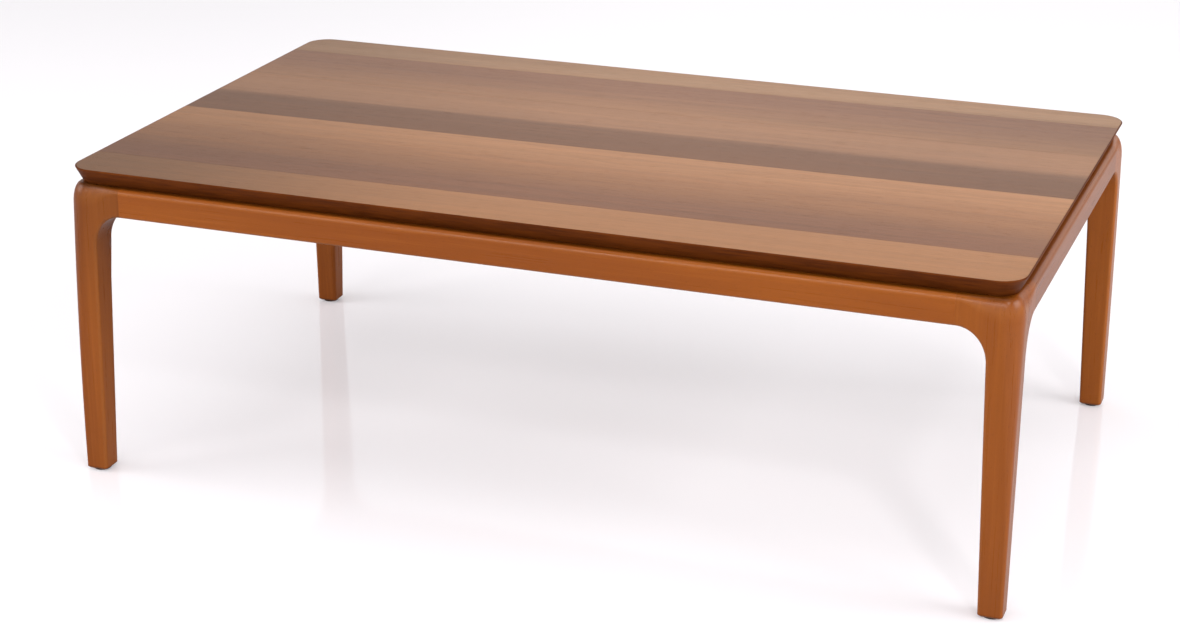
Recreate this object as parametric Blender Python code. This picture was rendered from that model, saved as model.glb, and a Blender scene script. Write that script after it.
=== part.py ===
"""Coffee table: a veneered top on a stained beech frame of four shaped legs and four rails.

Metres, +Z up. The origin is on the floor under the middle of the top, and +X runs along the length.
A leg is drawn from its outer corner: u runs in along one rail, v runs in along the other.
"""
import math

import bmesh
import bpy
from mathutils import Matrix, Vector

# Table
FRAME_LENGTH = 1.200
FRAME_WIDTH = 0.700
TABLE_HEIGHT = 0.410
GAP = 0.0003                    # glue line or clearance between neighbouring pieces

# Top board
TOP_SETBACK = 0.0015            # the top stops this far inside the frame's outline
TOP_THICKNESS = 0.020
TOP_CORNER_RADIUS = 0.032
LIPPING_WIDTH = 0.015
EDGE_UNDERCUT = 0.0095          # the edge slopes in by this much on its way down to the frame
ARRIS_ROUND = 0.0012            # upper outer edge, which frames the veneer
VENEER_THICKNESS = 0.0009
LEAF_WIDTH_1 = 0.067            # face veneer leaves, counted from the back edge
LEAF_WIDTH_2 = 0.138
LEAF_WIDTH_3 = 0.183
LEAF_WIDTH_4 = 0.225
LEAF_WIDTH_5 = 0.084
LEAF_SKEW = 0.016               # the leaf joints run this far off square over the length

# Rails
RAIL_HEIGHT = 0.0375
RAIL_THICKNESS = 0.030
RAIL_TOP_ROUND = 0.008
RAIL_EDGE_ROUND = 0.004
RAIL_BACK_CHAMFER = 0.001

# Legs
LEG_TOP_WIDTH = 0.038
LEG_FOOT_WIDTH = 0.0295
LEG_EDGE_ROUND = 0.0045         # along the post, easing to the rail's edge at the fillet
INNER_EDGE_ROUND = 0.004        # on the post's hidden inner corner
INNER_EDGE_FADE = 0.050         # length over which that rounding runs out under the fillet
FOOT_CORNER_RADIUS = 0.004      # outer corner, in plan, at the floor
FRAME_CORNER_RADIUS = 0.024     # the same corner at the frame's top
CORNER_GROWTH = 2.0             # power by which the radius grows between them
SHOULDER_ROUND = 0.012          # top edge at the outer corner: how far in it curves
SHOULDER_DROP = 0.028           # and how far down
FILLET_LENGTH = 0.036
FILLET_HEIGHT = 0.042
EAR_STRAIGHT = 0.001            # straight run between the fillet and the joint with the rail
FOOT_CHAMFER = 0.002

# Dowels in the joints between rails and ears
DOWEL_RADIUS = 0.004
DOWEL_LENGTH = 0.040
DOWEL_PITCH = 0.016
DOWEL_CHAMFER = 0.001
DOWEL_END_ROOM = 0.001          # free depth at each end of the hole

# Screws up through the rails into the top
SCREW_SHANK_RADIUS = 0.002
SCREW_HEAD_RADIUS = 0.004
SCREW_HEAD_HEIGHT = 0.0024
SCREW_DRIVE_RADIUS = 0.0016
SCREW_DRIVE_DEPTH = 0.0014
SCREW_POINT = 0.004
SCREW_BITE = 0.009              # depth in the core board
SCREW_SEAT_WALL = 0.021         # wood left in the rail above the screw head
SCREW_SETBACK = 0.022           # from the rail's outer face
SCREW_END_DISTANCE = 0.060      # from the rail's end to its first screw
LONG_RAIL_SCREW_COUNT = 4
SHORT_RAIL_SCREW_COUNT = 2

# Glides under the feet
GLIDE_RADIUS = 0.0115
GLIDE_THICKNESS = 0.0025
GLIDE_ROUND = 0.001
GLIDE_PIN_RADIUS = 0.0018
GLIDE_PIN_LENGTH = 0.012

# Facets
CORNER_STEPS = 7
EDGE_STEPS = 4
FILLET_STEPS = 9
POST_LEVELS = 7
INNER_STEPS = 3
ROUND_SIDES = 12
GLIDE_SIDES = 20
MERGE_DISTANCE = 1e-6

# Levels and lengths that follow from the sizes above
TOP_LENGTH = FRAME_LENGTH - 2 * TOP_SETBACK
TOP_WIDTH = FRAME_WIDTH - 2 * TOP_SETBACK
TOP_UNDERSIDE = TABLE_HEIGHT - TOP_THICKNESS
CORE_INSET = LIPPING_WIDTH + GAP
CORE_TOP = TABLE_HEIGHT - VENEER_THICKNESS - GAP
CORE_BOTTOM = TOP_UNDERSIDE + VENEER_THICKNESS + GAP
FRAME_LEVEL = TOP_UNDERSIDE - GAP
RAIL_BOTTOM = FRAME_LEVEL - RAIL_HEIGHT
FOOT_LEVEL = GLIDE_THICKNESS + GAP
FILLET_FOOT = RAIL_BOTTOM - FILLET_HEIGHT
SHOULDER_FOOT = FRAME_LEVEL - SHOULDER_DROP
EAR_REACH = LEG_TOP_WIDTH + FILLET_LENGTH + EAR_STRAIGHT
LONG_RAIL_LENGTH = FRAME_LENGTH - 2 * (EAR_REACH + GAP)
SHORT_RAIL_LENGTH = FRAME_WIDTH - 2 * (EAR_REACH + GAP)
SCREW_SEAT = FRAME_LEVEL - SCREW_SEAT_WALL
SCREW_TIP = CORE_BOTTOM + SCREW_BITE


def clear_scene():
    for item in list(bpy.data.objects):
        bpy.data.objects.remove(item, do_unlink=True)


def srgb(*channels):
    """Linear colour of 0-255 screen values."""
    linear = [((c / 255 + 0.055) / 1.055) ** 2.4 if c > 10 else c / 255 / 12.92 for c in channels]
    return (*linear, 1.0)


def make_material(name, colour, roughness, metallic=0.0):
    material = bpy.data.materials.new(name)
    material.use_nodes = True
    shader = material.node_tree.nodes["Principled BSDF"]
    shader.inputs["Base Color"].default_value = colour
    shader.inputs["Roughness"].default_value = roughness
    shader.inputs["Metallic"].default_value = metallic
    return material


def finish_mesh(name, bm, material=None):
    """Close the patches into one body, face it outwards and shade its rounds smooth."""
    bmesh.ops.remove_doubles(bm, verts=bm.verts, dist=MERGE_DISTANCE)
    bmesh.ops.recalc_face_normals(bm, faces=bm.faces)
    mesh = bpy.data.meshes.new(name)
    bm.to_mesh(mesh)
    bm.free()
    mesh.shade_smooth()
    mesh.set_sharp_from_angle(angle=math.radians(40))
    if material:
        mesh.materials.append(material)
    return mesh


def place(name, mesh, parent, location=(0, 0, 0), rotation=(0, 0, 0)):
    item = bpy.data.objects.new(name, mesh)
    bpy.context.collection.objects.link(item)
    item.parent = parent
    item.location = location
    item.rotation_euler = rotation
    return item


def drill(host, holes):
    """Cut a mesh of hole shapes, drawn in the host's own frame, out of the host."""
    cutter = place(host.name + "_holes", holes, host)
    cutter.hide_render = True
    cutter.display_type = "WIRE"
    cut = host.modifiers.new("holes", "BOOLEAN")
    cut.operation = "DIFFERENCE"
    cut.solver = "EXACT"
    cut.object = cutter


def add_grid(bm, rows):
    corners = [[bm.verts.new(point) for point in row] for row in rows]
    for lower, upper in zip(corners, corners[1:]):
        for face in zip(lower, lower[1:], upper[1:], upper):
            bm.faces.new(face)


def add_polygon(bm, points):
    bm.faces.new([bm.verts.new(point) for point in points])


def add_cylinder(bm, radius, start, end):
    start = Vector(start)
    run = Vector(end) - start
    turn = run.to_track_quat("Z", "Y").to_matrix().to_4x4()
    bmesh.ops.create_cone(
        bm, cap_ends=True, segments=ROUND_SIDES, radius1=radius, radius2=radius, depth=run.length,
        matrix=Matrix.Translation(start + run / 2) @ turn,
    )


def turned_mesh(name, profile, sides, material):
    """Spin (radius, height) points about Z; the profile starts and ends on the axis."""
    bm = bmesh.new()
    rows = []
    for side in range(sides + 1):
        angle = 2 * math.pi * side / sides
        rows.append([(r * math.cos(angle), r * math.sin(angle), z) for r, z in profile])
    add_grid(bm, rows)
    return finish_mesh(name, bm, material)


def quarter(steps):
    """Sine and cosine along a quarter turn."""
    turns = [math.pi / 2 * step / steps for step in range(steps + 1)]
    return [(math.sin(turn), math.cos(turn)) for turn in turns]


def rounded_outline(inset):
    """Plan outline of the top, anticlockwise, drawn in by an inset with its corners concentric."""
    radius = TOP_CORNER_RADIUS - inset
    reach_x = TOP_LENGTH / 2 - TOP_CORNER_RADIUS
    reach_y = TOP_WIDTH / 2 - TOP_CORNER_RADIUS
    points = []
    for sign_x, sign_y, start in ((1, 1, 0.0), (-1, 1, 0.5), (-1, -1, 1.0), (1, -1, 1.5)):
        for step in range(CORNER_STEPS + 1):
            angle = math.pi * (start + 0.5 * step / CORNER_STEPS)
            x = sign_x * reach_x + radius * math.cos(angle)
            y = sign_y * reach_y + radius * math.sin(angle)
            points.append((x, y))
    return points


def board_mesh(name, outline, bottom, top, material):
    bm = bmesh.new()
    add_polygon(bm, [(x, y, bottom) for x, y in outline])
    sheet = bmesh.ops.extrude_face_region(bm, geom=bm.faces[:])
    raised = [item for item in sheet["geom"] if isinstance(item, bmesh.types.BMVert)]
    bmesh.ops.translate(bm, vec=(0, 0, top - bottom), verts=raised)
    return finish_mesh(name, bm, material)


def leaf_joints():
    """Distances of the joints from the back edge; the leaves share any width left over or missing."""
    widths = (LEAF_WIDTH_1, LEAF_WIDTH_2, LEAF_WIDTH_3, LEAF_WIDTH_4, LEAF_WIDTH_5)
    spare = (TOP_WIDTH - sum(widths)) / len(widths)
    joints = []
    for number in range(1, len(widths)):
        joints.append(sum(widths[:number]) + number * spare)
    return joints


def leaf_mesh(name, joint_behind, joint_in_front, material):
    """One veneer leaf: the top's outline cut along its joints; the outer leaves have one only."""
    bm = bmesh.new()
    outline = rounded_outline(ARRIS_ROUND + GAP)
    add_polygon(bm, [(x, y, TABLE_HEIGHT - VENEER_THICKNESS) for x, y in outline])
    across = Vector((-LEAF_SKEW, TOP_LENGTH, 0)).normalized()
    for joint, keep in ((joint_behind, -1), (joint_in_front, 1)):
        if joint is None:
            continue
        point = Vector((0, TOP_WIDTH / 2 - joint, 0)) + across * keep * GAP / 2
        bmesh.ops.bisect_plane(
            bm, geom=bm.verts[:] + bm.edges[:] + bm.faces[:], dist=MERGE_DISTANCE,
            plane_co=point, plane_no=across, clear_outer=keep < 0, clear_inner=keep > 0,
        )
    sheet = bmesh.ops.extrude_face_region(bm, geom=bm.faces[:])
    raised = [item for item in sheet["geom"] if isinstance(item, bmesh.types.BMVert)]
    bmesh.ops.translate(bm, vec=(0, 0, VENEER_THICKNESS), verts=raised)
    return finish_mesh(name, bm, material)


def lipping_mesh(name, material):
    """A section carried round the top's outline: a small arris above an edge that slopes in below it."""
    section = [(LIPPING_WIDTH, CORE_TOP), (ARRIS_ROUND, CORE_TOP)]
    for sine, cosine in quarter(EDGE_STEPS):
        inset = ARRIS_ROUND * (1 - sine)
        section.append((inset, TABLE_HEIGHT - ARRIS_ROUND * (1 - cosine)))
    section.extend([(EDGE_UNDERCUT, TOP_UNDERSIDE), (LIPPING_WIDTH, TOP_UNDERSIDE)])
    rows = []
    for inset, z in section + section[:1]:
        ring = [(x, y, z) for x, y in rounded_outline(inset)]
        rows.append(ring + ring[:1])
    bm = bmesh.new()
    add_grid(bm, rows)
    return finish_mesh(name, bm, material)


def leg_width(z):
    """The post tapers on its two inner faces, from the fillet down to the foot."""
    share = (z - FOOT_LEVEL) / (FILLET_FOOT - FOOT_LEVEL)
    return LEG_FOOT_WIDTH + (LEG_TOP_WIDTH - LEG_FOOT_WIDTH) * share


def leg_edge_radius(z):
    share = (z - FOOT_LEVEL) / (FILLET_FOOT - FOOT_LEVEL)
    return LEG_EDGE_ROUND + (RAIL_EDGE_ROUND - LEG_EDGE_ROUND) * share


def inner_edge_radius(z):
    return INNER_EDGE_ROUND * min(1.0, (FILLET_FOOT - z) / INNER_EDGE_FADE)


def outer_corner_radius(z):
    share = (z - FOOT_LEVEL) / (SHOULDER_FOOT - FOOT_LEVEL)
    return FOOT_CORNER_RADIUS + (FRAME_CORNER_RADIUS - FOOT_CORNER_RADIUS) * share ** CORNER_GROWTH


def inner_face_row(u, z, normal, radius, far):
    """Across the inner face of the leg: round the front edge, then straight back to v = far."""
    row = []
    for sine, cosine in quarter(EDGE_STEPS):
        sunk = radius * (1 - sine)
        row.append((u - normal[0] * sunk, radius * (1 - cosine), z - normal[1] * sunk))
    row.append((u, far, z))
    return row


def post_levels():
    foot = FOOT_LEVEL + FOOT_CHAMFER
    return [foot, FILLET_FOOT - INNER_EDGE_FADE, FILLET_FOOT]


def inner_face_rows():
    """Up the post, round the fillet and out along the underside of the ear."""
    rows = []
    for z in post_levels():
        far = leg_width(z) - inner_edge_radius(z)
        rows.append(inner_face_row(leg_width(z), z, (1, 0), leg_edge_radius(z), far))
    for sine, cosine in quarter(FILLET_STEPS)[1:]:
        u = LEG_TOP_WIDTH + FILLET_LENGTH * (1 - cosine)
        z = FILLET_FOOT + FILLET_HEIGHT * sine
        normal = Vector((FILLET_HEIGHT * cosine, -FILLET_LENGTH * sine)).normalized()
        rows.append(inner_face_row(u, z, normal, RAIL_EDGE_ROUND, LEG_TOP_WIDTH))
    rows.append(inner_face_row(EAR_REACH, RAIL_BOTTOM, (0, -1), RAIL_EDGE_ROUND, LEG_TOP_WIDTH))
    return rows


def hidden_edge_rows():
    """The rounded edge where the post's two inner faces meet, running out at the fillet."""
    rows = []
    for z in post_levels():
        radius = inner_edge_radius(z)
        middle = leg_width(z) - radius
        arc = quarter(INNER_STEPS)
        rows.append([(middle + radius * cosine, middle + radius * sine, z) for sine, cosine in arc])
    return rows


def corner_row(radius, inset, z):
    """Round the outer corner in plan, drawn in by an inset."""
    reach = radius - inset
    arc = quarter(CORNER_STEPS)
    return [(radius - reach * sine, radius - reach * cosine, z) for sine, cosine in arc]


def outer_corner_rows():
    foot = FOOT_LEVEL + FOOT_CHAMFER
    levels = [foot + (SHOULDER_FOOT - foot) * step / POST_LEVELS for step in range(POST_LEVELS + 1)]
    return [corner_row(outer_corner_radius(z), 0, z) for z in levels]


def ear_top_edge():
    """The rounded top edge at the ear's end, which the rail carries on."""
    edge = []
    for sine, cosine in quarter(EDGE_STEPS):
        v = RAIL_TOP_ROUND * (1 - cosine)
        edge.append((EAR_REACH, v, FRAME_LEVEL - RAIL_TOP_ROUND * (1 - sine)))
    return edge


def shoulder_rows():
    """The rounded top edge: from one ear's end, fuller round the outer corner, to the other's."""
    rows = []
    for (sine, cosine), ear in zip(quarter(EDGE_STEPS), ear_top_edge()):
        inset = SHOULDER_ROUND * (1 - cosine)
        z = FRAME_LEVEL - SHOULDER_DROP * (1 - sine)
        rows.append([ear] + corner_row(FRAME_CORNER_RADIUS, inset, z) + [swap(ear)])
    return rows


def swap(point):
    """The same point on the leg's other side: the leg is alike along both rails."""
    return (point[1], point[0], point[2])


def leg_mesh(name, material):
    faces = inner_face_rows()
    other = [[swap(point) for point in row] for row in faces]
    hidden = hidden_edge_rows()
    corner = outer_corner_rows()
    shoulder = shoulder_rows()
    width = LEG_TOP_WIDTH
    crook = (width, width, FRAME_LEVEL)
    ear_back = (EAR_REACH, width, FRAME_LEVEL)
    outer_face = [row[0] for row in faces] + [shoulder[0][0]] + [row[0] for row in reversed(corner)]
    ear_rows = faces[len(post_levels()) - 1:]
    back_face = [row[-1] for row in ear_rows] + [ear_back, crook]
    ear_end = faces[-1] + [ear_back] + list(reversed(ear_top_edge()))
    bm = bmesh.new()
    for rows in (faces, other, hidden, corner, shoulder):
        add_grid(bm, rows)
    for face in (outer_face, back_face, ear_end):
        add_polygon(bm, face)
        add_polygon(bm, [swap(point) for point in face])
    add_polygon(bm, shoulder[-1] + [swap(ear_back), crook, ear_back])
    ring = faces[0] + hidden[0][1:-1] + list(reversed(other[0])) + list(reversed(corner[0]))
    centre = LEG_FOOT_WIDTH / 2
    share = 1 - FOOT_CHAMFER / centre
    sole = [(centre + (u - centre) * share, centre + (v - centre) * share, FOOT_LEVEL) for u, v, z in ring]
    add_grid(bm, [ring + ring[:1], sole + sole[:1]])
    add_polygon(bm, sole)
    return finish_mesh(name, bm, material)


def dowel_levels():
    middle = (RAIL_BOTTOM + FRAME_LEVEL) / 2
    return {"lower": middle - DOWEL_PITCH / 2, "upper": middle + DOWEL_PITCH / 2}


def leg_holes():
    bm = bmesh.new()
    inner_end = EAR_REACH - DOWEL_LENGTH / 2 - DOWEL_END_ROOM
    outer_end = EAR_REACH + DOWEL_LENGTH / 2
    for z in dowel_levels().values():
        start = (inner_end, RAIL_THICKNESS / 2, z)
        end = (outer_end, RAIL_THICKNESS / 2, z)
        add_cylinder(bm, DOWEL_RADIUS + GAP, start, end)
        add_cylinder(bm, DOWEL_RADIUS + GAP, swap(start), swap(end))
    centre = LEG_FOOT_WIDTH / 2
    deep = GLIDE_THICKNESS + GLIDE_PIN_LENGTH + GAP
    add_cylinder(bm, GLIDE_PIN_RADIUS + GAP, (centre, centre, 0), (centre, centre, deep))
    return finish_mesh("leg_holes", bm)


def rail_mesh(name, length, material):
    """The rail's section, rounded on its outer edges, drawn out along X from end to end."""
    section = []
    for sine, cosine in quarter(EDGE_STEPS):
        sunk = RAIL_EDGE_ROUND * (1 - sine)
        section.append((RAIL_EDGE_ROUND * (1 - cosine), RAIL_BOTTOM + sunk))
    section.append((RAIL_THICKNESS - RAIL_BACK_CHAMFER, RAIL_BOTTOM))
    section.append((RAIL_THICKNESS, RAIL_BOTTOM + RAIL_BACK_CHAMFER))
    section.append((RAIL_THICKNESS, FRAME_LEVEL))
    section.extend((v, z) for u, v, z in reversed(ear_top_edge()))
    ends = [[(x, v, z) for v, z in section] for x in (-length / 2, length / 2)]
    bm = bmesh.new()
    add_grid(bm, [end + end[:1] for end in ends])
    for end in ends:
        add_polygon(bm, end)
    return finish_mesh(name, bm, material)


def screw_places(length, count):
    first = SCREW_END_DISTANCE - length / 2
    return [first * (1 - 2 * index / (count - 1)) for index in range(count)]


def rail_holes(name, length, count):
    bm = bmesh.new()
    for side in (-1, 1):
        for z in dowel_levels().values():
            start = side * (length / 2 - DOWEL_LENGTH / 2 - DOWEL_END_ROOM)
            end = side * (length / 2 + DOWEL_LENGTH / 2)
            add_cylinder(bm, DOWEL_RADIUS + GAP, (start, RAIL_THICKNESS / 2, z), (end, RAIL_THICKNESS / 2, z))
    below = RAIL_BOTTOM - SCREW_SEAT_WALL
    above = FRAME_LEVEL + SCREW_SEAT_WALL
    bore = SCREW_HEAD_RADIUS + GAP
    shank = SCREW_SHANK_RADIUS + GAP
    for x in screw_places(length, count):
        profile = [(0, below), (bore, below), (bore, SCREW_SEAT), (shank, SCREW_SEAT), (shank, above), (0, above)]
        rows = []
        for side in range(ROUND_SIDES + 1):
            angle = 2 * math.pi * side / ROUND_SIDES
            rows.append([(x + r * math.cos(angle), SCREW_SETBACK + r * math.sin(angle), z) for r, z in profile])
        add_grid(bm, rows)
    return finish_mesh(name, bm)


def dowel_mesh(material):
    """A round peg along X, chamfered at both ends."""
    half = DOWEL_LENGTH / 2
    tip = DOWEL_RADIUS - DOWEL_CHAMFER
    profile = [(0, -half), (tip, -half), (DOWEL_RADIUS, DOWEL_CHAMFER - half)]
    profile += [(r, -z) for r, z in reversed(profile)]
    return turned_mesh("dowel", profile, ROUND_SIDES, material)


def screw_mesh(material):
    """Upright, with the underside of its head at height zero and its point at the top."""
    shank_end = SCREW_TIP - SCREW_SEAT + GAP
    drive_floor = SCREW_DRIVE_DEPTH - SCREW_HEAD_HEIGHT
    profile = [
        (0, drive_floor),
        (SCREW_DRIVE_RADIUS, drive_floor),
        (SCREW_DRIVE_RADIUS, -SCREW_HEAD_HEIGHT),
        (SCREW_HEAD_RADIUS, -SCREW_HEAD_HEIGHT),
        (SCREW_HEAD_RADIUS, 0),
        (SCREW_SHANK_RADIUS, 0),
        (SCREW_SHANK_RADIUS, shank_end - SCREW_POINT),
        (0, shank_end),
    ]
    return turned_mesh("screw", profile, ROUND_SIDES, material)


def glide_mesh(material):
    """A low round pad with a pin that is pressed up into the foot."""
    pin_end = GLIDE_THICKNESS + GLIDE_PIN_LENGTH
    profile = [
        (0, 0),
        (GLIDE_RADIUS - GLIDE_ROUND, 0),
        (GLIDE_RADIUS, GLIDE_ROUND),
        (GLIDE_RADIUS, GLIDE_THICKNESS),
        (GLIDE_PIN_RADIUS, GLIDE_THICKNESS),
        (GLIDE_PIN_RADIUS, pin_end - GLIDE_PIN_RADIUS),
        (0, pin_end),
    ]
    return turned_mesh("glide", profile, GLIDE_SIDES, material)


def build_top(table, screw_points):
    core = make_material("core board", srgb(196, 164, 120), 0.8)
    backing = make_material("backing veneer", srgb(132, 94, 62), 0.6)
    lipping = make_material("dark stained lipping", srgb(90, 42, 14), 0.45)
    tones = ((184, 150, 128), (172, 136, 116), (160, 127, 109), (176, 137, 114), (183, 139, 110))
    joints = [None, *leaf_joints(), None]
    for number, tone in enumerate(tones, 1):
        name = f"top_veneer_leaf_{number}"
        veneer = make_material(f"face veneer {number}", srgb(*tone), 0.4)
        place(name, leaf_mesh(name, joints[number - 1], joints[number], veneer), table)
    place("top_edge_lipping", lipping_mesh("top_edge_lipping", lipping), table)
    outline = rounded_outline(CORE_INSET)
    boards = [
        place("top_core_board", board_mesh("top_core_board", outline, CORE_BOTTOM, CORE_TOP, core), table),
        place("top_backing_veneer", board_mesh(
            "top_backing_veneer", outline, TOP_UNDERSIDE, TOP_UNDERSIDE + VENEER_THICKNESS, backing), table),
    ]
    bm = bmesh.new()
    for x, y in screw_points:
        end = SCREW_TIP + GAP
        add_cylinder(bm, SCREW_SHANK_RADIUS + GAP, (x, y, RAIL_BOTTOM), (x, y, end))
    pilot_holes = finish_mesh("pilot_holes", bm)
    for board in boards:
        drill(board, pilot_holes)


def build_legs(table):
    beech = make_material("stained beech, legs", srgb(160, 85, 35), 0.4)
    pad = make_material("dark glide", srgb(34, 30, 28), 0.6)
    leg = leg_mesh("leg", beech)
    holes = leg_holes()
    glide = glide_mesh(pad)
    half_length = FRAME_LENGTH / 2
    half_width = FRAME_WIDTH / 2
    corners = {
        "front_left": (-half_length, -half_width),
        "front_right": (half_length, -half_width),
        "back_right": (half_length, half_width),
        "back_left": (-half_length, half_width),
    }
    foot = LEG_FOOT_WIDTH / 2
    for turn, (corner, (x, y)) in enumerate(corners.items()):
        post = place(f"leg_{corner}", leg, table, (x, y, 0), (0, 0, turn * math.pi / 2))
        drill(post, holes)
        place(f"glide_{corner}", glide, post, (foot, foot, 0))


def build_rails(table):
    """Rails with their dowels and screws; gives back where the screws stand under the top."""
    beech = make_material("stained beech, rails", srgb(158, 82, 34), 0.4)
    peg = make_material("plain beech dowel", srgb(208, 174, 128), 0.7)
    steel = make_material("zinc plated steel", srgb(176, 176, 172), 0.35, 1.0)
    dowel = dowel_mesh(peg)
    screw = screw_mesh(steel)
    sides = {
        "front": (LONG_RAIL_LENGTH, LONG_RAIL_SCREW_COUNT, (0, -FRAME_WIDTH / 2, 0)),
        "right": (SHORT_RAIL_LENGTH, SHORT_RAIL_SCREW_COUNT, (FRAME_LENGTH / 2, 0, 0)),
        "back": (LONG_RAIL_LENGTH, LONG_RAIL_SCREW_COUNT, (0, FRAME_WIDTH / 2, 0)),
        "left": (SHORT_RAIL_LENGTH, SHORT_RAIL_SCREW_COUNT, (-FRAME_LENGTH / 2, 0, 0)),
    }
    screw_points = []
    for turn, (side, (length, count, middle)) in enumerate(sides.items()):
        angle = turn * math.pi / 2
        rail = place(f"rail_{side}", rail_mesh(f"rail_{side}", length, beech), table, middle, (0, 0, angle))
        drill(rail, rail_holes(f"rail_{side}_holes", length, count))
        for end, sign in (("start", -1), ("end", 1)):
            for level, z in dowel_levels().items():
                seat = (sign * (length + GAP) / 2, RAIL_THICKNESS / 2, z)
                place(f"dowel_{side}_{end}_{level}", dowel, rail, seat, (0, math.pi / 2, 0))
        for number, x in enumerate(screw_places(length, count), 1):
            place(f"top_screw_{side}_{number}", screw, rail, (x, SCREW_SETBACK, SCREW_SEAT - GAP))
            turned = Matrix.Rotation(angle, 3, "Z") @ Vector((x, SCREW_SETBACK, 0)) + Vector(middle)
            screw_points.append((turned.x, turned.y))
    return screw_points


def main():
    clear_scene()
    table = place("coffee_table", None, None)
    build_legs(table)
    build_top(table, build_rails(table))


main()
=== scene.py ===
import math

import bmesh
import bpy
import numpy as np
from mathutils import Matrix, Vector


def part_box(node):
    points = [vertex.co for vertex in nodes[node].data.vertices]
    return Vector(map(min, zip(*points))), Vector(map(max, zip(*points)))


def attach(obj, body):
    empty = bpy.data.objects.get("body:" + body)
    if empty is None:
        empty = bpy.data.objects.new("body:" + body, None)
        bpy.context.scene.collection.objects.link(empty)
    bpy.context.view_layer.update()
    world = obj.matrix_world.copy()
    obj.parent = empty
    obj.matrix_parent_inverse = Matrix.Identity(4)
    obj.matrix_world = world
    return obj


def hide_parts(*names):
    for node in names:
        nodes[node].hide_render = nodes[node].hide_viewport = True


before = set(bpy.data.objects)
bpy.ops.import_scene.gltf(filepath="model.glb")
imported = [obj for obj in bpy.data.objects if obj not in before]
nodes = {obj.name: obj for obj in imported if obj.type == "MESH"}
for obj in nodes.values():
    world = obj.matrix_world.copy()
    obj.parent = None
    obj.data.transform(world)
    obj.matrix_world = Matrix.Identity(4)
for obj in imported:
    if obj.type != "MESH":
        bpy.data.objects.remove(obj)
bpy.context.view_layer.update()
print("frame loaded,", len(nodes), "nodes")


class Wire:
    # a socket that can stand in a Python sum: each operator adds one Math node
    def __init__(self, desk, socket):
        self.desk = desk
        self.socket = socket

    def math(self, operation, first, second):
        return self.desk.node("Math", {"operation": operation}, {0: first, 1: second})

    def __add__(self, other):
        return self.math("ADD", self, other)

    def __radd__(self, other):
        return self.math("ADD", other, self)

    def __sub__(self, other):
        return self.math("SUBTRACT", self, other)

    def __rsub__(self, other):
        return self.math("SUBTRACT", other, self)

    def __mul__(self, other):
        return self.math("MULTIPLY", self, other)

    def __rmul__(self, other):
        return self.math("MULTIPLY", other, self)

    def __truediv__(self, other):
        return self.math("DIVIDE", self, other)

    def __rtruediv__(self, other):
        return self.math("DIVIDE", other, self)


class NodeDesk:
    # one node tree, and the one way nodes get into it
    def __init__(self, tree):
        self.tree = tree
        tree.nodes.clear()

    def socketOf(self, sockets, name):
        if isinstance(name, int):
            return sockets[name]
        return next(s for s in sockets if name in (s.identifier, s.name))

    def node(self, kind, settings=None, sockets=None, output=0):
        made = self.tree.nodes.new("ShaderNode" + kind)
        for name, value in (settings or {}).items():
            if name == "stops":
                self.setStops(made.color_ramp, value)
            else:
                setattr(made, name, value)
        for name, value in (sockets or {}).items():
            socket = self.socketOf(made.inputs, name)
            if isinstance(value, Wire):
                self.tree.links.new(value.socket, socket)
            else:
                socket.default_value = value
        if len(made.outputs) == 0:
            return None
        return Wire(self, self.socketOf(made.outputs, output))

    def setStops(self, ramp, stops):
        while len(ramp.elements) < len(stops):
            ramp.elements.new(1.0)
        for element, (place, colour) in zip(ramp.elements, stops):
            element.position = place
            element.color = colour

    def axis(self, vector, name):
        return self.node("SeparateXYZ", None, {0: vector}, name)

    def colour(self, red, green, blue):
        return self.node("CombineColor", None, {0: red, 1: green, 2: blue})

    def mix(self, factor, first, second, blend="MIX"):
        settings = {"data_type": "RGBA", "blend_type": blend, "clamp_factor": True}
        sockets = {"Factor_Float": factor, "A_Color": first, "B_Color": second}
        return self.node("Mix", settings, sockets, "Result_Color")

    def noise(self, vector, scales, detail, roughness=0.5):
        # scales are about the number of lumps in a metre along each axis
        stretched = self.node("VectorMath", {"operation": "MULTIPLY"}, {0: vector, 1: scales})
        return self.node("TexNoise", None, {
            "Vector": stretched, "Scale": 1.0, "Detail": detail, "Roughness": roughness})

    def between(self, value, low, high, toLow=0.0, toHigh=1.0):
        # value from low..high brought to toLow..toHigh with soft ends
        return self.node("MapRange", {"interpolation_type": "SMOOTHSTEP"}, {
            "Value": value, "From Min": low, "From Max": high, "To Min": toLow, "To Max": toHigh})


def screen(red, green, blue):
    # linear colour of 0-255 screen values
    values = np.array([red, green, blue]) / 255
    linear = np.where(values > 0.04045, ((values + 0.055) / 1.055) ** 2.4, values / 12.92)
    return (*linear.tolist(), 1.0)


def newFinish(name):
    material = bpy.data.materials.new(name)
    material.use_nodes = True
    return material, NodeDesk(material.node_tree)


def closeFinish(desk, fixed, colour, gloss, relief):
    # fixed holds the shader's constant values, the rest varies over the surface
    varying = {"Base Color": colour, "Roughness": gloss, "Normal": relief}
    shader = desk.node("BsdfPrincipled", None, {**fixed, **varying})
    desk.node("OutputMaterial", None, {"Surface": shader})


def bump(desk, height, depth):
    # depth in metres
    return desk.node("Bump", None, {"Strength": 1.0, "Distance": depth, "Height": height})


cameraLook = {
    "place": (1.0248, -2.8280, 1.3111),
    "downTilt": 20.901,      # degrees below level
    "heading": -20.500,      # degrees from +Y towards +X
    "roll": 0.080,
    "focalPixels": 2434.1,
    "imageWidth": 1180,
    "sensorWidth": 36.0,
}


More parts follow.
